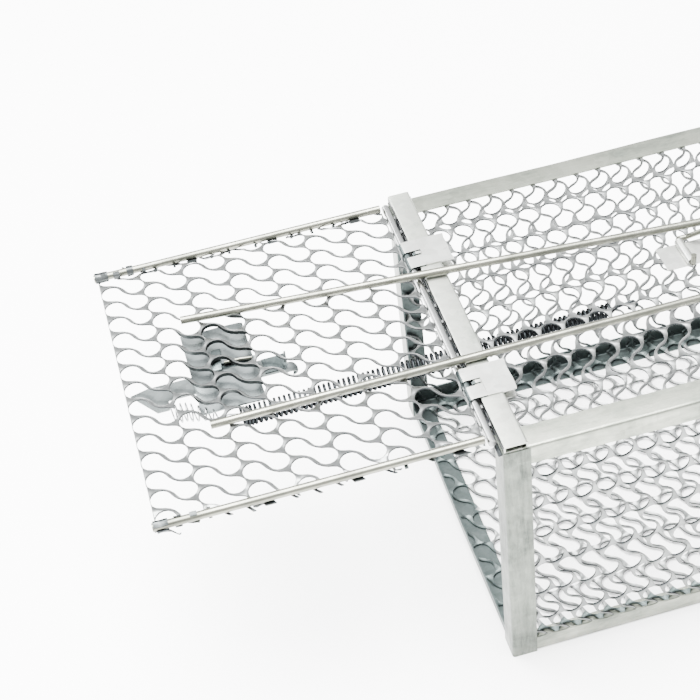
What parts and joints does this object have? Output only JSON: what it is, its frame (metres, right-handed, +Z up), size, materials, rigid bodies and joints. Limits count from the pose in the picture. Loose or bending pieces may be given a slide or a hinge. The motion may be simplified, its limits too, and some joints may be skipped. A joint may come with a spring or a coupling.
{
  "type": "live catch trap",
  "caption": "Wire-mesh live catch cage trap with a top-hinged drop door held open by a long lever, a bait-hook trigger, a closing spring and a sliding lock tongue.",
  "frame": {"origin": "middle of the underside of the whole object's box, open door included", "axes": "+X from the door end to the back of the cage, +Y to the far side, +Z up"},
  "size_m": [0.3866, 0.14, 0.1246],
  "materials": {
    "frame_sheet": "satin galvanised sheet",
    "mesh_steel": "satin galvanised expanded metal",
    "plate_sheet": "satin galvanised plate",
    "wire_steel": "drawn zinc-coated wire",
    "spring_steel": "bright spring wire"
  },
  "bodies": {
    "cage": {"front_near_post": "frame_sheet", "front_far_post": "frame_sheet", "rear_near_post": "frame_sheet", "rear_far_post": "frame_sheet", "near_top_rail": "frame_sheet", "far_top_rail": "frame_sheet", "near_bottom_rail": "frame_sheet", "far_bottom_rail": "frame_sheet", "front_top_crossbar": "frame_sheet", "rear_top_crossbar": "frame_sheet", "front_floor_lip": "frame_sheet", "rear_floor_lip": "frame_sheet", "top_mesh": "mesh_steel", "floor_mesh": "mesh_steel", "near_side_mesh": "mesh_steel", "far_side_mesh": "mesh_steel", "back_mesh": "mesh_steel", "near_hinge_tab": "plate_sheet", "far_hinge_tab": "plate_sheet", "trigger_plate": "plate_sheet", "bait_hook_bracket": "plate_sheet"},
    "door": {"hinge_rod": "wire_steel", "door_mesh": "mesh_steel", "near_door_wire": "wire_steel", "far_door_wire": "wire_steel", "lever": "wire_steel", "lock_plate": "plate_sheet"},
    "tongue": {"lock_tongue": "plate_sheet"},
    "spring": {"closing_spring": "spring_steel"},
    "arm": {"hold_down_arm": "wire_steel"},
    "hook": {"bait_hook": "wire_steel"}
  },
  "joints": [
    {"name": "door_hinge", "type": "hinge", "parent": "cage", "child": "door", "pos_m": [-0.07935, 0, 0.1145], "axis": [0, 1, 0], "range_deg": [-90, 0], "deforming": ["closing_spring"]},
    {"name": "tongue_slide", "type": "slide", "parent": "door", "child": "tongue", "axis": [1, 0, 0], "range_m": [-0.0011, 0.0094]},
    {"name": "spring_swing", "type": "hinge", "parent": "cage", "child": "spring", "pos_m": [-0.00935, -0.0124, 0.107], "axis": [0, 1, 0], "range_deg": [-55, 0]},
    {"name": "arm_hinge", "type": "hinge", "parent": "cage", "child": "arm", "pos_m": [0.01615, 0.0008, 0.11405], "axis": [0, 1, 0], "range_deg": [-90, 0]},
    {"name": "hook_hinge", "type": "hinge", "parent": "cage", "child": "hook", "pos_m": [0.0579, 0.0036, 0.11405], "axis": [0, 1, 0], "range_deg": [-10, 25]}
  ],
  "couplings": [
    {"joint": "spring_swing", "follows": "door_hinge", "ratio": 0.6004}
  ]
}
